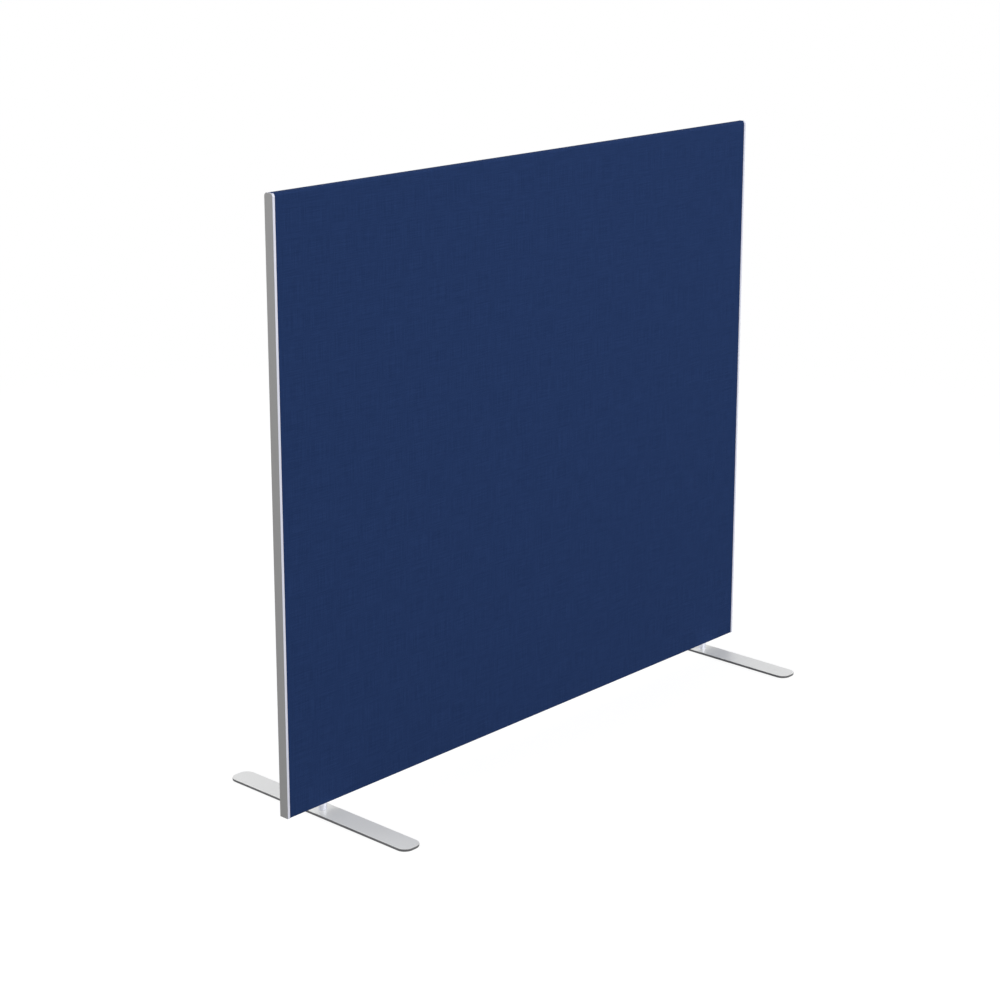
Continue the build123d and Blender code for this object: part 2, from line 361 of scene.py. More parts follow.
beech_wood = beech()
dowel_axes = centres_of("frame_dowels")
half_dowel = [(0, 0), (dowel_radius - dowel_chamfer, 0), (dowel_radius, dowel_chamfer)]
dowel_outline = np.array(half_dowel + [(r, dowel_length - z) for r, z in reversed(half_dowel)])
for level, low in (("lower", dowel_low.z), ("upper", dowel_high.z - dowel_length)):
    dowels = turned(f"{level}_dowels", dowel_outline + (0, low), dowel_axes, steps=80, ripple=flutes)
    fit_out(dowels, beech_wood, "panel", "frame_dowels")


# Infill slabs
# Two slabs of compressed mineral fibre fill the frame and take up the sound.
# They are sawn to size, so their faces are slightly uneven and their edges crumble a little.
def mottling():
    """Two colours mixed by coarse and fine random patterns, and their height."""
    outputs = {"Colour": "Color", "Height": "Float"}
    tree, given, result = effect("mottling", outputs, Scale=100.0, Dark=black, Light=white)
    coarse = noise(tree, given["Place"], given["Scale"], 4.0, 0.6)
    fine = noise(tree, given["Place"], maths(tree, "MULTIPLY", given["Scale"], 6.3), 3.0, 0.6)
    both = maths(tree, "MULTIPLY_ADD", fine, 0.5, maths(tree, "MULTIPLY", coarse, 0.5))
    colour = mixed(tree, between(tree, both, 0.33, 0.67), given["Dark"], given["Light"])
    feed(tree, result, Colour=colour, Height=both)
    return tree


mottle = mottling()
matted = {"strength": 0.6, "Roughness": 0.95, "Sheen_Weight": 0.15, "Sheen_Roughness": 0.6}


def mottled(name, scale, dark, light, strength, depth, **plain):
    """Material in two mottled colours, with a surface that is uneven in the same pattern."""
    material, tree, shader = finish(name, **plain)
    patches = use(tree, mottle, Place=place(tree), Scale=scale, Dark=dark, Light=light)
    height = bumps(tree, patches["Height"], strength, depth)
    feed(tree, shader, Base_Color=patches["Colour"], Normal=height)
    return material


def unevenness(x, z, size):
    """Slow relief from -1 to 1: the mean of three crossed waves of different lengths."""
    waves = np.sin(x / size) * np.cos(z / size * 0.83 + 1.3)
    waves = waves + np.sin(x / size * 2.7 + 0.6) * np.sin(z / size * 2.1 + 0.4)
    return (waves + np.cos(x / size * 5.9 + 2.0) * np.sin(z / size * 6.7)) / 3


slab_edge = 0.003
slab_relief = 0.05
slab_wave = 0.045
slab_counts = (44, 70)
edge_shares = np.array([0, 0.04, 0.15, 0.35, 0.65, 1.0])


def slab_places(low, high, count):
    """Places across a slab, even but close together near both edges, and the roundness there.

    The roundness is the root of 1 - (1 - d / e)^4 for a distance d under e from an edge.
    """
    near = slab_edge * edge_shares
    even = np.linspace(low + slab_edge, high - slab_edge, count)[1:-1]
    places = np.concatenate([low + near, even, high - near[::-1]])
    inside = np.clip(np.minimum(places - low, high - places) / slab_edge, 0, 1)
    return places, np.sqrt(1 - (1 - inside) ** 4)


def fibre_slab(name, low, high):
    """Board whose half thickness falls with the roundness to its four edges, less a slow relief."""
    x, round_x = slab_places(low.x, high.x, slab_counts[0])
    z, round_z = slab_places(low.z, high.z, slab_counts[1])
    grid_x, grid_z = np.meshgrid(x, z, indexing="ij")
    half = (high.y - low.y) / 2 * np.outer(round_x, round_z)
    half = half * (1 - slab_relief * (1 + unevenness(grid_x, grid_z, slab_wave)) / 2)
    middle = (high.y + low.y) / 2
    faces = [np.dstack([grid_x, middle + side * half, grid_z]) for side in (-1, 1)]
    return piece(name, np.stack(faces), grid_faces(*half.shape, grids=2))


slab_browns = ((0.36, 0.34, 0.27, 1), (0.60, 0.58, 0.50, 1))
slab_fibre = mottled("mineral_fibre", 260.0, *slab_browns, depth=0.0006, **matted)
for node in ("infill_left", "infill_right"):
    slab = fibre_slab(f"{node}_slab", *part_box(node))
    fit_out(slab, slab_fibre, "panel", node)


# Felt facings
# A sheet of needled polyester felt, 2 mm thick, is glued over each face of the frame.
# It hides the joints of the timber and makes the stretched cover look even.
def closed_cloth(name, outer, inner, keep=slice(None), uv=None):
    """Cloth between two like grids of points: outer faces, inner faces turned round, and a rim.

    The rim stands on every free edge: an edge of the outer faces that no other face runs along
    the other way.
    """
    quads = grid_faces(*outer.shape[:2])[keep]
    count = outer[..., 0].size
    edges = np.stack([quads, np.roll(quads, -1, axis=1)], axis=-1).reshape(-1, 2)
    forward, back = edges @ np.array([count, 1]), edges @ np.array([1, count])
    free = edges[~np.isin(forward, back)]
    rim = np.stack([free[:, 1], free[:, 0], free[:, 0] + count, free[:, 1] + count], axis=-1)
    used, faces = np.unique(np.concatenate([quads, quads[:, ::-1] + count, rim]), return_inverse=True)
    points = np.concatenate([outer.reshape(-1, 3), inner.reshape(-1, 3)])[used]
    if uv is not None:
        uv = np.concatenate([uv.reshape(-1, 2)] * 2)[used]
    return piece(name, points, faces.reshape(-1, 4), uv)


felt_relief = 0.00006
felt_gap = 0.00004
felt_wave = 0.012
felt_counts = (120, 100)
felt_greys = ((0.055, 0.058, 0.065, 1), (0.12, 0.125, 0.135, 1))
felt_fibre = mottled("needled_felt", 420.0, *felt_greys, depth=0.0004, **matted)
for node, side in (("front_facing", -1), ("back_facing", 1)):
    low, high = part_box(node)
    x = np.linspace(low.x + felt_gap, high.x - felt_gap, felt_counts[0])
    z = np.linspace(low.z + felt_gap, high.z - felt_gap, felt_counts[1])
    grid_x, grid_z = np.meshgrid(x, z, indexing="ij")
    near, far = sorted((abs(low.y), abs(high.y)))
    depth = felt_gap + felt_relief * (1 - unevenness(grid_x, grid_z, felt_wave))
    outer_face, inner_face = (
        np.dstack([grid_x, side * y, grid_z]) for y in (far - depth, np.full_like(depth, near + felt_gap))
    )
    felt = closed_cloth(f"{node}_felt", outer_face, inner_face)
    fit_out(felt, felt_fibre, "panel", node)


# Fabric cover
# One piece of plain woven navy cloth goes up the front, over the top and down the back.
# It is turned in over both ends, notched at its corners, and stapled under the bottom rail.
cover_low, cover_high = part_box("fabric_cover")
cover_half = cover_high.y
cover_end = cover_high.x
cloth_thickness = 0.00094
hem_fold_radius = 0.001
head_radius = 0.006
fold_hold = 0.0006
hem_half_gap = 0.001
groove_half = 0.00155
groove_depth = 0.0095
groove_step = 0.0002
groove_in_cap = 0.0061
groove_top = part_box("left_top_cap")[0].z + groove_in_cap
bolt_opening = 0.004
crown = 0.00025
crown_wave = 0.06
crown_relief = 0.3
flatness = 0.001
crown_margin = 0.012
staple_line = 0.004
staple_reach = 0.0056
staple_width = 0.0011
staple_dent = 0.00062
staple_xs = np.array([centre[0] for centre in centres_of("hem_staples", apart=0.02)])
bolt_boxes = [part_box(f"{side}_foot_bolt") for side in ("left", "right")]
bolt_xs = np.array([(low.x + high.x) / 2 for low, high in bolt_boxes])
hem_rows = np.array([0.0004, 0.0012, 0.002, 0.0024, 0.003, 0.0036, 0.004, 0.0055, 0.007])
face_rows = 84
even_columns = 90
staple_shares = np.array([-1.3, -1.05, -0.85, -0.6, 0, 0.6, 0.85, 1.05, 1.3])


def lengths_along(line):
    """Length of a line from its start to each of its points."""
    return np.concatenate([[0], np.cumsum(np.linalg.norm(np.diff(line, axis=0), axis=1))])


def points_at(places, known, line):
    """Points of a line at places between its known ones."""
    return np.stack([np.interp(places, known, line[:, k]) for k in (0, 1)], axis=-1)


def cover_section():
    """Section of the cover from hem to hem, as (y, z), with the inward normal and the length.

    The normal is the direction of the line turned a quarter, from the slope over the length.
    """
    corners = [(-hem_half_gap, cover_low.z), (-cover_half, cover_low.z), (-cover_half, cover_high.z)]
    corners = corners + [(-y, z) for y, z in reversed(corners)]
    radii = [0, hem_fold_radius, head_radius, head_radius, hem_fold_radius, 0]
    line = rounded(corners, radii, steps=7, hold=fold_hold)
    along = lengths_along(line)
    hem = cover_half - hem_fold_radius - hem_half_gap
    even = np.linspace(hem, along[-1] - hem, face_rows)
    stations = np.unique(np.round(np.concatenate([along, hem_rows, along[-1] - hem_rows, even]), 7))
    points = points_at(stations, along, line)
    slope = np.gradient(points, stations, axis=0)
    slope /= np.linalg.norm(slope, axis=1, keepdims=True)
    return points, np.stack([slope[:, 1], -slope[:, 0]], axis=-1), stations


def hem_edge(x):
    """Distance of a hem's free edge from the middle: the gap, the groove, or a bolt's round opening."""
    edge = np.where(np.abs(x) > cover_end - groove_depth, groove_half, hem_half_gap)
    for bolt_x in bolt_xs:
        edge = np.maximum(edge, np.sqrt(np.maximum(bolt_opening**2 - (x - bolt_x) ** 2, 0)))
    return edge


def cover_columns():
    """Places along the panel: even, and closer at each staple, at each bolt and at the ends."""
    straight_end = cover_end - hem_fold_radius
    meeting = math.asin(hem_half_gap / bolt_opening)
    by_bolt = bolt_opening * np.cos(np.linspace(meeting, math.pi - meeting, 13))
    groove = cover_end - groove_depth + np.array([-groove_step, groove_step])
    even = np.linspace(-straight_end, straight_end, even_columns)
    by_staples = (staple_xs[:, None] + staple_reach * staple_shares).ravel()
    by_bolts = (bolt_xs[:, None] + by_bolt).ravel()
    return np.unique(np.round(np.concatenate([even, by_staples, by_bolts, groove, -groove]), 6))


def cover_cloth():
    """Surface over the length s of the section and the place x along the panel.

    Outer and inner points lie either side of the cloth. A hem is drawn out or in to its free edge,
    dented by exp(-(dx / a)^4 - (dy / b)^4) at each staple, and the faces are crowned by a
    cosine. Past each end the cloth goes a quarter turn round the edge, and then straight in
    to the nearest point of the groove.
    """
    section, inward, along = cover_section()
    x = cover_columns()
    grid_x, y = np.meshgrid(x, section[:, 0])
    z, in_y, in_z = (np.broadcast_to(values[:, None], y.shape) for values in (section[:, 1], *inward.T))
    fold = cover_half - hem_fold_radius
    is_hem = (z < cover_low.z + hair) & (np.abs(y) <= fold + hair)
    edge = hem_edge(grid_x)
    drawn = edge + (np.abs(y) - hem_half_gap) / (fold - hem_half_gap) * (fold - edge)
    y = np.where(is_hem, np.sign(y) * drawn, y)
    gap = np.abs(grid_x[..., None] - staple_xs).min(axis=-1) / staple_reach
    across = (np.abs(y) - staple_line) / staple_width
    dent = is_hem * staple_dent * np.exp(-(gap**4) - across**4)
    height = (z - cover_low.z) / (cover_high.z - cover_low.z)
    face = np.cos(math.pi / 2 * np.clip(np.abs(grid_x) / (cover_end - crown_margin), 0, 1)) ** 0.5
    face = face * np.clip(np.sin(math.pi * height), 0, 1) ** 0.5 * (np.abs(in_y) > 1 - flatness)
    sunk = dent - crown * face * (1 + crown_relief * unevenness(grid_x, z, crown_wave))
    outer, inner = (np.dstack([grid_x, y + by * in_y, z + by * in_z]) for by in (sunk, cloth_thickness))
    uv = np.dstack([grid_x, np.broadcast_to(along[:, None], y.shape)])

    turn = np.linspace(0, math.pi / 2, 6)[1:]
    share = np.linspace(0, 1, 6)[1:]
    turned_in = section[:, None] + hem_fold_radius * (1 - np.cos(turn))[:, None] * inward[:, None]
    last = turned_in[:, -1:]
    groove_y = np.clip(section[:, :1], -groove_half, groove_half)
    nearest = np.dstack([groove_y, np.minimum(section[:, 1:], groove_top)])
    end_yz = np.hstack([turned_in, last + share[:, None] * (nearest - last)])
    end_x = cover_end + hem_fold_radius * np.append(np.sin(turn) - 1, 0 * share)
    lean = np.append(turn, np.full(len(share), math.pi / 2))
    shape = end_yz.shape[:2]
    end_outer = np.dstack([np.broadcast_to(end_x, shape), end_yz])
    end_normal = np.dstack([np.broadcast_to(-np.sin(lean), shape), np.cos(lean)[:, None] * inward[:, None]])
    end_inner = end_outer + cloth_thickness * end_normal
    steps = np.linalg.norm(np.diff(np.hstack([outer[:, -1:], end_outer]), axis=1), axis=-1)
    end_uv = np.dstack([x[-1] + np.cumsum(steps, axis=1), np.broadcast_to(along[:, None], shape)])

    mirror = np.array([-1, 1, 1])
    outer, inner, uv = (
        np.hstack([(end * mirror[: end.shape[-1]])[:, ::-1], middle, end])
        for end, middle in ((end_outer, outer), (end_inner, inner), (end_uv, uv))
    )
    with_end = section[:, 1] >= cover_low.z + hem_fold_radius - hair
    notched = ~(with_end[:-1] & with_end[1:])
    keep = np.ones((outer.shape[0] - 1, outer.shape[1] - 1), bool)
    keep[notched, : len(end_x)] = False
    keep[notched, -len(end_x) :] = False
    return outer, inner, keep.ravel(), uv, along[-1]


def plain_weave():
    """Plain weave on a UV map in metres: warp and weft threads cross over and under.

    A thread's section is a half circle, 1 - (2 f - 1)^2 under a root for the place f across it.
    Along it, the height follows half a cosine wave that is turned over from thread to thread.
    """
    tree, given, result = effect("plain_weave", {"Height": "Float", "Warp": "Float"}, Threads_a_metre=1000.0)
    parts = put(tree, "SeparateXYZ", a=given["Place"]).outputs
    across = [maths(tree, "MULTIPLY", parts[k], given["Threads a metre"]) for k in (0, 1)]
    heights = []
    for own, other, shift in ((0, 1, -0.5), (1, 0, 0.5)):
        offset = maths(tree, "MULTIPLY_ADD", maths(tree, "FRACT", across[own]), 2.0, -1.0)
        bulge = maths(tree, "SQRT", maths(tree, "SUBTRACT", 1.0, maths(tree, "MULTIPLY", offset, offset)))
        index = maths(tree, "ADD", maths(tree, "FLOOR", across[own]), shift)
        angle = maths(tree, "MULTIPLY", maths(tree, "ADD", across[other], index), math.pi)
        over = maths(tree, "MULTIPLY_ADD", maths(tree, "COSINE", angle), 0.5, 0.5)
        heights.append(maths(tree, "MULTIPLY", bulge, over))
    feed(tree, result, Height=maths(tree, "MAXIMUM", *heights), Warp=maths(tree, "GREATER_THAN", *heights))
    return tree


navy_dyes = ((0.0125, 0.0297, 0.095, 1), (0.0196, 0.0430, 0.132, 1))
# Painted shade for the hollows of the weave, and a painted highlight for the warp threads:
navy_painted_shade = (0.0055, 0.015, 0.054, 1)
navy_warp_painted_highlight = (0.024, 0.054, 0.155, 1)


def navy_cloth():
    """Matt navy polyester: threads of slightly uneven dye, with slubs along both ways, painted shade where
    the weave dips, and a painted highlight on the warp threads.
    """
    material, tree, shader = finish(
        "navy_cloth",
        Roughness=0.9,
        Specular_IOR_Level=0.04,
        Sheen_Weight=0.02,
        Sheen_Roughness=0.5,
        Sheen_Tint=(0.35, 0.45, 0.75, 1),
    )
    on_cloth = put(tree, "UVMap", {"uv_map": "cloth"}).outputs[0]
    threads = strayed(tree, on_cloth, on_cloth, 130.0, (0.0009, 0.0009, 0))
    weave = use(tree, plain_weave(), Place=threads, Threads_a_metre=1250.0)
    slubs = [noise(tree, scaled(tree, threads, by), 1.0, 2.0) for by in ((16, 620, 1), (620, 16, 1))]
    dye = maths(tree, "MULTIPLY", noise(tree, on_cloth, 60.0, 3.0, 0.55), 0.14)
    dye = maths(tree, "MULTIPLY_ADD", maths(tree, "ADD", *slubs), 0.43, dye)
    colour = mixed(tree, between(tree, dye, 0.33, 0.67), *navy_dyes)
    # Painted shade: darker where the weave dips between threads.
    colour = mixed(tree, between(tree, weave["Height"], 0.0, 0.75), navy_painted_shade, colour)
    # Painted highlight: the warp threads are made lighter.
    colour = mixed(tree, maths(tree, "MULTIPLY", weave["Warp"], 0.12), colour, navy_warp_painted_highlight)
    height = maths(tree, "MULTIPLY_ADD", dye, 0.6, weave["Height"])
    feed(tree, shader, Base_Color=colour, Normal=bumps(tree, height, 0.7, 0.0003))
    return material


outer_cloth, inner_cloth, kept_faces, cloth_uv, cover_length = cover_cloth()
cover = closed_cloth("navy_cover", outer_cloth, inner_cloth, kept_faces, cloth_uv)
fit_out(cover, navy_cloth(), "panel", "fabric_cover")


# Hem staples
# Fine galvanised wire staples hold both hems to the bottom rail, flush with the cloth.
# Their crowns lie along the hem, and their legs end in chisel points.
def metal_lines():
    """Fine lines along Z, as drawing, rolling or turning leaves them, and slow smudges."""
    tree, given, result = effect(
        "metal_lines", {"Lines": "Float", "Smudge": "Float"}, Lines_a_metre=4000.0, Stretch=0.01
    )
    stretch = put(tree, "CombineXYZ", a=1.0, b=1.0, c=given["Stretch"]).outputs[0]
    drawn = noise(tree, scaled(tree, given["Place"], stretch), given["Lines a metre"], 3.0, 0.65)
    feed(tree, result, Lines=drawn, Smudge=noise(tree, given["Place"], 38.0, 4.0, 0.6))
    return tree


lines = metal_lines()


def metal_skin(tree, shader, drawn, colour, clean, smudged, strength, depth):
    """Feeds a metal its colour, its lines as height, and a roughness that the smudges add to."""
    rough = maths(tree, "MULTIPLY_ADD", drawn["Smudge"], smudged, clean)
    normal = bumps(tree, drawn["Lines"], strength, depth)
    feed(tree, shader, Base_Color=colour, Roughness=rough, Normal=normal)


zinc_greys = ((0.50, 0.52, 0.55, 1), (0.68, 0.69, 0.70, 1))


def zinc_plate(name, turn=None):
    """Bright zinc: fine rolled lines, a cool bloom, and patches that are duller."""
    material, tree, shader = finish(name, Metallic=1.0)
    point = place(tree, turn)
    drawn = use(tree, lines, Place=point, Lines_a_metre=5200.0, Stretch=0.02)
    bloom = use(tree, mottle, Place=point, Scale=420.0, Dark=zinc_greys[0], Light=zinc_greys[1])["Colour"]
    metal_skin(tree, shader, drawn, bloom, clean=0.2, smudged=0.22, strength=0.12, depth=0.00005)
    return material


zinc = zinc_plate("zinc_plate", lengthwise)
staple_low, staple_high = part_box("hem_staples")
wire_half_width = 0.0006
wire_half_thickness = 0.0003
wire_edge = 0.00015
wire_bend = 0.0004
crown_length = 0.01
half_crown = crown_length / 2 - wire_half_thickness
chisel_length = 0.0009


def staple_points(x, y):
    """Rounded flat wire carried down one leg, along the crown and up the other leg.

    A point is the path's point plus across along Y, plus out along the normal, which is Y
    crossed with the path's direction.
    """
    crown_z = staple_low.z + wire_half_thickness
    legs = [(-half_crown, staple_high.z), (-half_crown, crown_z)]
    legs = legs + [(-leg_x, leg_z) for leg_x, leg_z in reversed(legs)]
    line = rounded(legs, [0, wire_bend, wire_bend, 0], steps=5)
    path = np.stack([x + line[:, 0], np.full(len(line), y), line[:, 1]], axis=-1)
    wire = np.array([(-1, -1), (1, -1), (1, 1), (-1, 1)]) * (wire_half_width, wire_half_thickness)
    wire = rounded(wire, [wire_edge] * 4, steps=3, closed=True)
    step = np.gradient(path, axis=0)
    step /= np.linalg.norm(step, axis=1, keepdims=True)
    along_y = np.array([0.0, 1.0, 0.0])
    normal = np.cross(along_y, step)
    points = path[:, None] + wire[None, :, :1] * along_y + wire[None, :, 1:] * normal[:, None]
    chisels = points[[0, -1]]
    chisels[:, :, 2] = staple_high.z - chisel_length
    tips = np.broadcast_to(path[[0, -1], None], chisels.shape)
    return np.concatenate([tips[:1], chisels[:1], points[1:-1], chisels[1:], tips[1:]])


staples = np.stack([staple_points(x, side * staple_line) for x in staple_xs for side in (-1, 1)])
staple_faces = grid_faces(*staples.shape[1:3], wrap_columns=True, grids=len(staples))
fit_out(piece("hem_staple_wires", staples, staple_faces), zinc, "panel", "hem_staples")


# Edge trims
# A silver anodised aluminium extrusion closes each end, its barbed fin pressed into the groove.
# Its web is brushed along its length, and its outward face is painted darker than the two bright lips, as
# shade.
panel_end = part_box("right_edge_profile")[1].x
web_skin = 0.0003
# The web greys are painted shade: the same metal as the lips, made darker.
web_painted_shade_greys = ((0.217, 0.215, 0.215, 1), (0.309, 0.307, 0.307, 1))
lip_greys = ((0.605, 0.617, 0.715, 1), (0.665, 0.677, 0.78, 1))


def silver_trim(name, metallic, clean):
    """Silver finish of a trim: bright lips and edges, and a brushed outward face painted a darker grey as
    shade.
    """
    material, tree, shader = finish(name, Metallic=metallic)
    point = place(tree)
    drawn = use(tree, lines, Place=point, Lines_a_metre=2600.0, Stretch=0.004)
    from_middle = maths(tree, "ABSOLUTE", put(tree, "SeparateXYZ", a=point).outputs[0])
    outwards = between(tree, from_middle, panel_end - web_skin, panel_end - web_skin / 3)
    web_shade = maths(tree, "MULTIPLY_ADD", maths(tree, "SUBTRACT", drawn["Lines"], 0.5), 0.7, 0.5)
    polished = mixed(tree, drawn["Smudge"], *lip_greys)
    # Outward faces take the darker web greys, which are painted shade.
    colour = mixed(tree, outwards, polished, mixed(tree, web_shade, *web_painted_shade_greys))
    metal_skin(tree, shader, drawn, colour, clean=clean, smudged=0.14, strength=0.15, depth=0.00004)
    return material


anodised = silver_trim("anodised_aluminium", metallic=0.18, clean=0.34)
coat(anodised, "aluminium_trim", "left_edge_profile", "right_edge_profile")


# Top caps
# A moulded silver cap rounds the top corners of each trim, held by a tongue in the groove.
# Its moulded skin is a little duller and less metallic than the extrusion, and its outward face has the same
# painted shade as the trim's web.
moulded = silver_trim("silver_moulding", metallic=0.15, clean=0.36)
coat(moulded, "cap_plastic", "left_top_cap", "right_top_cap")


# Fixing strips and their screws
# A zinc plated steel strip is let into the bottom rail above each foot.
# Two countersunk wood screws, with cross recesses, hold each strip.
coat(zinc, "zinc_steel", "left_fixing_strip", "right_fixing_strip")

screw_low, screw_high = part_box("fixing_strip_screws")
screw_head = 0.0035
screw_shank = 0.00175
screw_rim = 0.0003
screw_neck = 0.0004
screw_point = 0.004
screw_pitch = 0.0014
screw_thread_depth = 0.00045
screw_thread_start = 0.004
recess_reach = 0.0019
recess_half_width = 0.00045
recess_depth = 0.0013
recess_slope = 0.0003


def thread(height, pitch, a):
    """Depth of a thread from 0 to 1: a triangle wave of height / pitch less the turn."""
    return 1 - np.abs(2 * np.mod(height / pitch - a / (2 * math.pi), 1) - 1)


def screw_cut(r, z, a):
    """Cross recess in the head and a thread on the shank.

    The recess is r inside the larger of two crossed bars' edges, min(reach / |cos|, width / |sin|).
    """
    cos, sin = (np.maximum(np.abs(share), hair) for share in (np.cos(a), np.sin(a)))
    bars = [np.minimum(recess_reach / u, recess_half_width / v) for u, v in ((cos, sin), (sin, cos))]
    face = z < screw_low.z + hair
    z = z + face * recess_depth * np.clip((np.maximum(*bars) - r) / recess_slope, 0, 1)
    threaded = (z > screw_low.z + screw_thread_start) & ~face & (r > 0)
    depth = np.minimum(screw_thread_depth, r / 2) * thread(z - screw_low.z, screw_pitch, a) ** 1.5
    return r - threaded * depth, z


def run(r, z):
    """Stretch of an outline of (r, z), where one of the two may stay the same."""
    return np.column_stack(np.broadcast_arrays(r, z))


cone_top = screw_low.z + screw_rim + screw_head - screw_shank
point_low = screw_high.z - screw_point
point_radii = screw_shank * np.sqrt(np.linspace(0.96, 0, 20))
screw_outline = np.concatenate(
    [
        run(screw_head * np.linspace(0, 1, 26), screw_low.z),
        [(screw_head, screw_low.z + screw_rim), (screw_shank, cone_top)],
        run(screw_shank, np.linspace(cone_top + screw_neck, point_low, 70)),
        run(point_radii, screw_high.z - screw_point * np.linspace(0.95, 0, 20)),
    ]
)
screw_axes = centres_of("fixing_strip_screws")
screws = turned("strip_screws", screw_outline, screw_axes, steps=72, ripple=screw_cut)
fit_out(screws, zinc_plate("zinc_screw"), "panel", "fixing_strip_screws")


# Press nuts and foot bolts
# Each strip holds an M6 press nut with a knurled collar, and one countersunk socket bolt
# comes up through the foot, its post and the washer. The foot swivels on the bolt's plain shank.
bolt_head = 0.006
bolt_shank = 0.003
bolt_rim = 0.0003
bolt_tip = 0.0006
bolt_pitch = 0.001
bolt_thread_depth = 0.0005
bolt_run_out = 0.0008
socket_half_flat = 0.002
socket_depth = 0.0022
socket_edge = 0.0001
socket_corner = socket_half_flat / math.cos(math.pi / 6)
nut_bore = 0.00305
nut_collar = 0.004
nut_body = 0.005
nut_edges = [0.0002, 0.0001, 0, 0.0003, 0.0005, 0.0003]
knurl_count = 36
knurl_depth = 0.00006


def bolt_cut(r, z, a):
    """Six sided socket in the head, and a thread from the washer up.

    The socket is r inside half its width over the cosine of the angle from the nearest flat.
    """
    flat = np.mod(a, math.pi / 3) - math.pi / 6
    inside = (r < socket_half_flat / np.cos(flat) - hair) & (z < bolt_low.z + hair)
    threaded = np.clip((z - cover_low.z) / bolt_run_out, 0, 1) * (r > 0)
    depth = bolt_thread_depth * thread(z - bolt_low.z, bolt_pitch, a)
    return r - threaded * depth, z + inside * socket_depth


def bolt_outline():
    """Across the socket and the head's face, up the cone and the shank, and in at the tip."""
    low, high = bolt_low.z, bolt_high.z
    return np.concatenate(
        [
            run(np.linspace(0, socket_half_flat - socket_edge, 6), low),
            run(np.linspace(socket_half_flat, socket_corner, 12), low),
            run(np.linspace(socket_corner, bolt_head, 8)[1:], low),
            [(bolt_head, low + bolt_rim)],
            run(bolt_shank, np.linspace(low + bolt_rim + bolt_head - bolt_shank, cover_low.z, 8)),
            run(bolt_shank, np.linspace(cover_low.z, high - bolt_tip, 100)[1:]),
            [(bolt_shank - bolt_tip, high), (0, high)],
        ]
    )


def knurl(r, z, a):
    """Radius of the collar less a depth times the sine of the knurls squared."""
    on_collar = (np.abs(r - nut_collar) < hair) & (z < strip_top + hair)
    return r - on_collar * knurl_depth * np.sin(a * knurl_count / 2) ** 2, z


def nut_outline():
    """The collar as high as the strip, and the wider body above it."""
    low, high = nut_low.z, nut_high.z
    corners = [(nut_bore, low), (nut_collar, low), (nut_collar, strip_top)]
    corners += [(nut_body, strip_top), (nut_body, high), (nut_bore, high)]
    return rounded(corners, nut_edges, steps=3, closed=True)


feet = [(side, (bolt_x, 0.0)) for side, bolt_x in zip(("left", "right"), bolt_xs)]
for side, axis in feet:
    bolt_low, bolt_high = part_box(f"{side}_foot_bolt")
    nut_low, nut_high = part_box(f"{side}_press_nut")
    strip_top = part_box(f"{side}_fixing_strip")[1].z
    bolt = turned(f"{side}_socket_bolt", bolt_outline(), [axis], steps=96, ripple=bolt_cut)
    fit_out(bolt, zinc, "panel", f"{side}_foot_bolt")
    nut = turned(f"{side}_knurled_nut", nut_outline(), [axis], steps=144, ripple=knurl, ring=True)
    fit_out(nut, zinc, "panel", f"{side}_press_nut")


# Swivel washers
# A natural nylon washer lies between each post and the hems, so that the foot turns freely.
# It is slightly translucent, moulded with softly rounded edges and a faint flow pattern.
def bored_ring(node, bore, edges, hold, steps):
    """Outline of a ring as big as its node, its edges rounded at the bore and outside."""
    low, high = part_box(node)
    outside = (high.x - low.x) / 2
    corners = [(bore, low.z), (outside, low.z), (outside, high.z), (bore, high.z)]
    return rounded(corners, [edges[0], edges[1], edges[1], edges[0]], steps, hold, closed=True)


nylon_whites = ((0.70, 0.70, 0.67, 1), (0.78, 0.78, 0.76, 1))
moulding = {"strength": 0.08, "depth": 0.00005, "Roughness": 0.42, "Subsurface_Weight": 0.08}
nylon = mottled("natural_nylon", 160.0, *nylon_whites, **moulding)
for side, axis in feet:
    node = f"{side}_swivel_washer"
    outline = bored_ring(node, bore=0.0031, edges=(0.0002, 0.0003), hold=0.0001, steps=4)
    washer = turned(f"{side}_nylon_washer", outline, [axis], steps=96, ring=True)
    fit_out(washer, nylon, "panel", node)


# Foot posts
# A short turned post on each foot carries the panel, bored for the bolt.
# It is bright steel with fine lathe lines round it and a satin finish.
def turned_steel():
    """Satin steel with rings of lathe lines, stretched round the post and not along it."""
    material, tree, shader = finish("turned_steel", Metallic=0.6)
    round_post = scaled(tree, place(tree), (0.02, 0.02, 1))
    rings = use(tree, lines, Place=round_post, Lines_a_metre=3600.0, Stretch=1.0)
    colour = mixed(tree, rings["Lines"], (0.67, 0.69, 0.77, 1), (0.79, 0.81, 0.90, 1))
    metal_skin(tree, shader, rings, colour, clean=0.26, smudged=0.12, strength=0.2, depth=0.00005)
    return material


post_steel = turned_steel()
post_bore = 0.00308
for side, axis in feet:
    node = f"{side}_foot_post"
    outline = bored_ring(node, bore=post_bore, edges=(0.0003, 0.0006), hold=0.00015, steps=6)
    post = turned(f"{side}_turned_post", outline, [axis], steps=128, ring=True)
    fit_out(post, post_steel, f"{side}_foot", node)


# Foot plates
# Each foot is a 50 by 5 mm steel flat with rounded ends, countersunk from below for its bolt.
# It has a fine silver powder coat, and its sheared rim is painted near black as shade.
end_radius = 0.02
rim_radius = 0.0008
rim_hold = 0.0004
middle_inset = 0.012
sink_radius = 0.00608
sink_rim = 0.0005
sink_flare = 0.0003
bore_edge = 0.0002
ring_points = 400


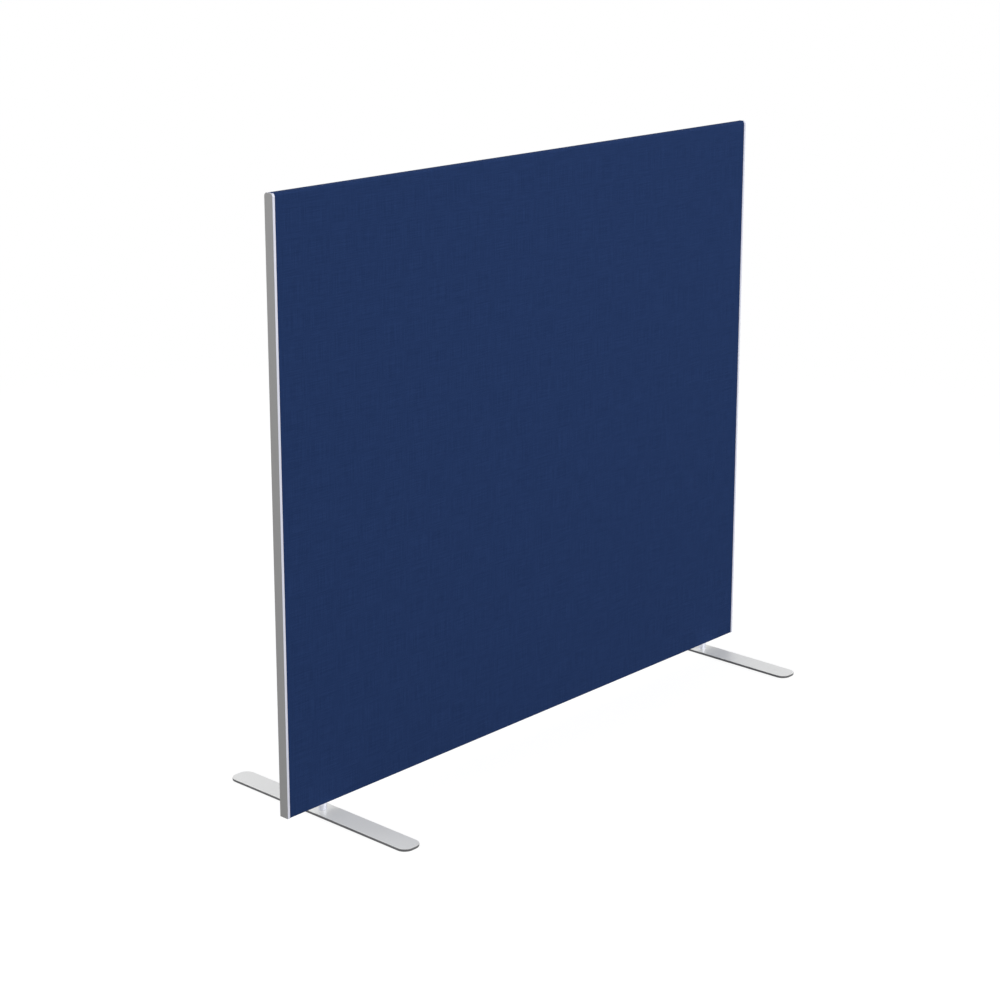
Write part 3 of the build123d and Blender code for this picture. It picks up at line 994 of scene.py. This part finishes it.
def plate_ring(low, high, inset):
    """Outline of the plate moved inwards, from the middle of its right side and round.

    The corners are arcs of the end radius less the inset. The points lie at even shares of
    the whole plate's outline, which keeps ring after ring in step.
    """

    def outline(by):
        """The plate's own outline moved inwards by so much."""
        right, left, back, front = high.x - by, low.x + by, high.y - by, low.y + by
        corners = [(right, 0.0), (right, back), (left, back), (left, front), (right, front), (right, 0.0)]
        return rounded(corners, [0] + [end_radius - by] * 4 + [0], steps=24)

    along = lengths_along(outline(0))
    order = np.arange(len(along))
    places = np.interp(np.linspace(0, along[-1], ring_points, endpoint=False), along, order)
    return points_at(places, order, outline(inset))


def foot_plate(name, low, high, axis):
    """Rings from the countersink, up the bore, over the top, round the rim and back below.

    Rings on the bore are circles, rings on the plate are its outline moved inwards, and the
    rim is a quarter circle above and below. The attribute rim goes from 0 on a face to 1.
    """
    angles = np.arange(ring_points) * 2 * math.pi / ring_points
    unit = np.stack([np.cos(angles), np.sin(angles)], axis=-1)
    circles = [
        (sink_radius + sink_flare, low.z),
        (sink_radius, low.z + sink_flare / 3),
        (sink_radius, low.z + sink_rim),
        (post_bore, low.z + sink_rim + sink_radius - post_bore),
        (post_bore, high.z - bore_edge),
        (post_bore + bore_edge, high.z),
        (post_bore + 3 * bore_edge, high.z),
    ]
    quarter = [(math.sin(angle), math.cos(angle)) for angle in np.linspace(0, math.pi / 2, 7)]
    edge = [(middle_inset, 0.0, 0.0), (rim_radius + rim_hold, 0.0, 0.0)]
    edge += [(rim_radius * (1 - sine), rim_radius * (1 - cosine), sine) for sine, cosine in quarter]
    rings = [(np.array(axis) + radius * unit, z, 0.0) for radius, z in circles]
    rings += [(plate_ring(low, high, inset), high.z - drop, rim) for inset, drop, rim in edge]
    rings += [(plate_ring(low, high, inset), low.z + drop, rim) for inset, drop, rim in reversed(edge)]
    points = np.stack([np.column_stack([ring, np.full(ring_points, z)]) for ring, z, _ in rings])
    faces = grid_faces(len(rings), ring_points, wrap_rows=True, wrap_columns=True)
    return piece(name, points, faces, rim=np.repeat([rim for _, _, rim in rings], ring_points))


def silver_coat():
    """Fine metallic powder coat: an even silver with a faint grain, and painted shade over the rim."""
    material, tree, shader = finish("silver_powder_coat", Metallic=0.15)
    point = place(tree)
    flakes = noise(tree, point, 1500.0, 2.0)
    peel = noise(tree, point, 600.0, 2.0)
    smudge = noise(tree, point, 24.0, 4.0, 0.6)
    silver = mixed(tree, flakes, (0.79, 0.79, 0.775, 1), (0.89, 0.89, 0.875, 1))
    rim = put(tree, "Attribute", {"attribute_name": "rim"}).outputs["Fac"]
    # Painted shade: the rim is made near black, its edge broken up a little by the peel pattern.
    rim_painted_shade = between(tree, maths(tree, "MULTIPLY_ADD", peel, 0.12, rim), 0.35, 0.95)
    colour = mixed(tree, rim_painted_shade, silver, (0.10, 0.10, 0.105, 1))
    rough = maths(tree, "MULTIPLY_ADD", smudge, 0.12, 0.3)
    feed(tree, shader, Base_Color=colour, Roughness=rough, Normal=bumps(tree, peel, 0.05, 0.00003))
    return material


powder_coat = silver_coat()
for side, axis in feet:
    plate = foot_plate(f"{side}_silver_plate", *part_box(f"{side}_foot_plate"), axis)
    fit_out(plate, powder_coat, f"{side}_foot", f"{side}_foot_plate")


# Foot pads
# Two black rubber discs are stuck under each foot to grip the floor and keep it unmarked.
# Their lower edge is rounded, and two moulded grooves run round the underside.
rubber_blacks = ((0.018, 0.018, 0.019, 1), (0.045, 0.045, 0.046, 1))
rubber = mottled("black_rubber", 650.0, *rubber_blacks, strength=0.3, depth=0.0001, Roughness=0.85)
groove_radii = (0.0045, 0.0085)
groove_half_width = 0.0005
groove_rise = 0.0004
groove_edge = 0.00015
pad_edges = [0.0006, 0.0002]
for side, (bolt_x, _) in feet:
    low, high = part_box(f"{side}_foot_pads")
    radius = (high.x - low.x) / 2
    pad_y = high.y - radius
    roof = low.z + groove_rise
    corners = [(0, low.z)]
    for groove in groove_radii:
        near, far = groove - groove_half_width, groove + groove_half_width
        corners += [(near, low.z), (near, roof), (far, roof), (far, low.z)]
    corners += [(radius, low.z), (radius, high.z), (0, high.z)]
    outline = rounded(corners, [0] + [groove_edge] * 8 + pad_edges + [0], steps=4)
    pads = turned(f"{side}_rubber_pads", outline, [(bolt_x, -pad_y), (bolt_x, pad_y)], steps=72)
    fit_out(pads, rubber, f"{side}_foot", f"{side}_foot_pads")


# Studio floor
# A wide pale floor, shown white, that keeps a soft shadow near the object.
# Beyond the fade it is plain white, so that it meets the background without a line.
floor_half = 40.0
floor_count = 9
fade_start = 1.6
fade_end = 3.6
bounce_grey = (0.17, 0.17, 0.17, 1)
shadow_grey = (0.22, 0.22, 0.22, 1)
glow_grey = (0.85, 0.85, 0.85, 1)


def seen(tree):
    """1 for a ray that shows what it meets, as the camera's, and 0 for a ray of bounced light."""
    path = put(tree, "LightPath").outputs
    shows = maths(tree, "MAXIMUM", path["Is Camera Ray"], path["Is Glossy Ray"])
    return maths(tree, "MAXIMUM", shows, path["Is Transmission Ray"])


def floor_finish():
    """Diffuse for light that bounces, and white with a share of diffuse for what is seen."""
    material = bpy.data.materials.new("pale_floor")
    tree = cleared(material)
    bounce = put(tree, "BsdfDiffuse", Color=bounce_grey).outputs[0]
    shadowed = put(tree, "BsdfDiffuse", Color=shadow_grey).outputs[0]
    glow = put(tree, "Emission", Color=glow_grey).outputs[0]
    near = put(tree, "AddShader", a=glow, b=shadowed).outputs[0]
    far = put(tree, "Emission", Color=white).outputs[0]
    away = put(tree, "VectorMath", {"operation": "LENGTH"}, a=place(tree)).outputs["Value"]
    shown = put(tree, "MixShader", a=between(tree, away, fade_start, fade_end), b=near, c=far).outputs[0]
    put(tree, "OutputMaterial", Surface=put(tree, "MixShader", a=seen(tree), b=bounce, c=shown).outputs[0])
    return material


floor_places = np.linspace(-floor_half, floor_half, floor_count)
floor_x, floor_y = np.meshgrid(floor_places, floor_places, indexing="ij")
floor_points = np.stack([floor_x, floor_y, 0 * floor_x], axis=-1).reshape(-1, 3)
floor_mesh = bpy.data.meshes.new("floor")
floor_mesh.from_pydata(floor_points.tolist(), [], grid_faces(floor_count, floor_count).tolist())
floor_mesh.materials.append(floor_finish())
set_up("floor", floor_mesh)


# Studio light
# A large soft key in front, a weaker one behind, a small fill at the upper left end, and an
# even surround. The surround is white where it is seen, directly or in a reflection.
def soft_lamp(name, watts, size, stand, aim):
    """Square lamp at stand, turned to aim."""
    data = bpy.data.lights.new(name, "AREA")
    data.energy = watts
    data.size = size
    lamp = set_up(name, data)
    lamp.location = stand
    x, y, z = np.array(aim) - np.array(stand)
    rise = math.atan2(z, math.hypot(x, y))
    lamp.rotation_euler = (math.pi / 2 + rise, 0.0, math.atan2(y, x) - math.pi / 2)
    lamp.visible_camera = False


soft_lamp("key_lamp", watts=186.0, size=4.2, stand=(0.45, -4.2, 2.5), aim=(0.0, 0.0, 0.6))
soft_lamp("back_lamp", watts=124.0, size=4.5, stand=(-1.2, 4.0, 2.8), aim=(0.0, 0.0, 0.5))
soft_lamp("end_lamp", watts=13.0, size=1.2, stand=(-2.3, 0.2, 1.4), aim=(-0.7, 0.0, 1.0))

world = bpy.data.worlds.new("surround")
bpy.context.scene.world = world
air = cleared(world)
surround = put(air, "Background", Color=(0.98, 0.985, 1.0, 1), Strength=0.52).outputs[0]
backdrop = put(air, "Background", Color=white, Strength=1.0).outputs[0]
sky = put(air, "MixShader", a=seen(air), b=surround, c=backdrop).outputs[0]
put(air, "OutputWorld", Surface=sky)


# Camera
# The place, lens and tilt are solved from the photograph's vanishing points and corners.
# A small shift takes part of the tilt, so that the uprights stay almost parallel.
camera_place = (-3.3196, -2.9698, 1.84)
camera_heading = math.radians(42.625)
camera_tilt = math.radians(14.215)
camera_data = bpy.data.cameras.new("camera")
camera_data.lens = 80.61
camera_data.sensor_width = 36.0
camera_data.shift_y = -0.1
camera = set_up("camera", camera_data)
camera.location = camera_place
camera.rotation_euler = (math.pi / 2 - camera_tilt, 0.0, camera_heading - math.pi / 2)
bpy.context.scene.camera = camera
bpy.context.scene.view_settings.view_transform = "Standard"

bpy.context.view_layer.update()
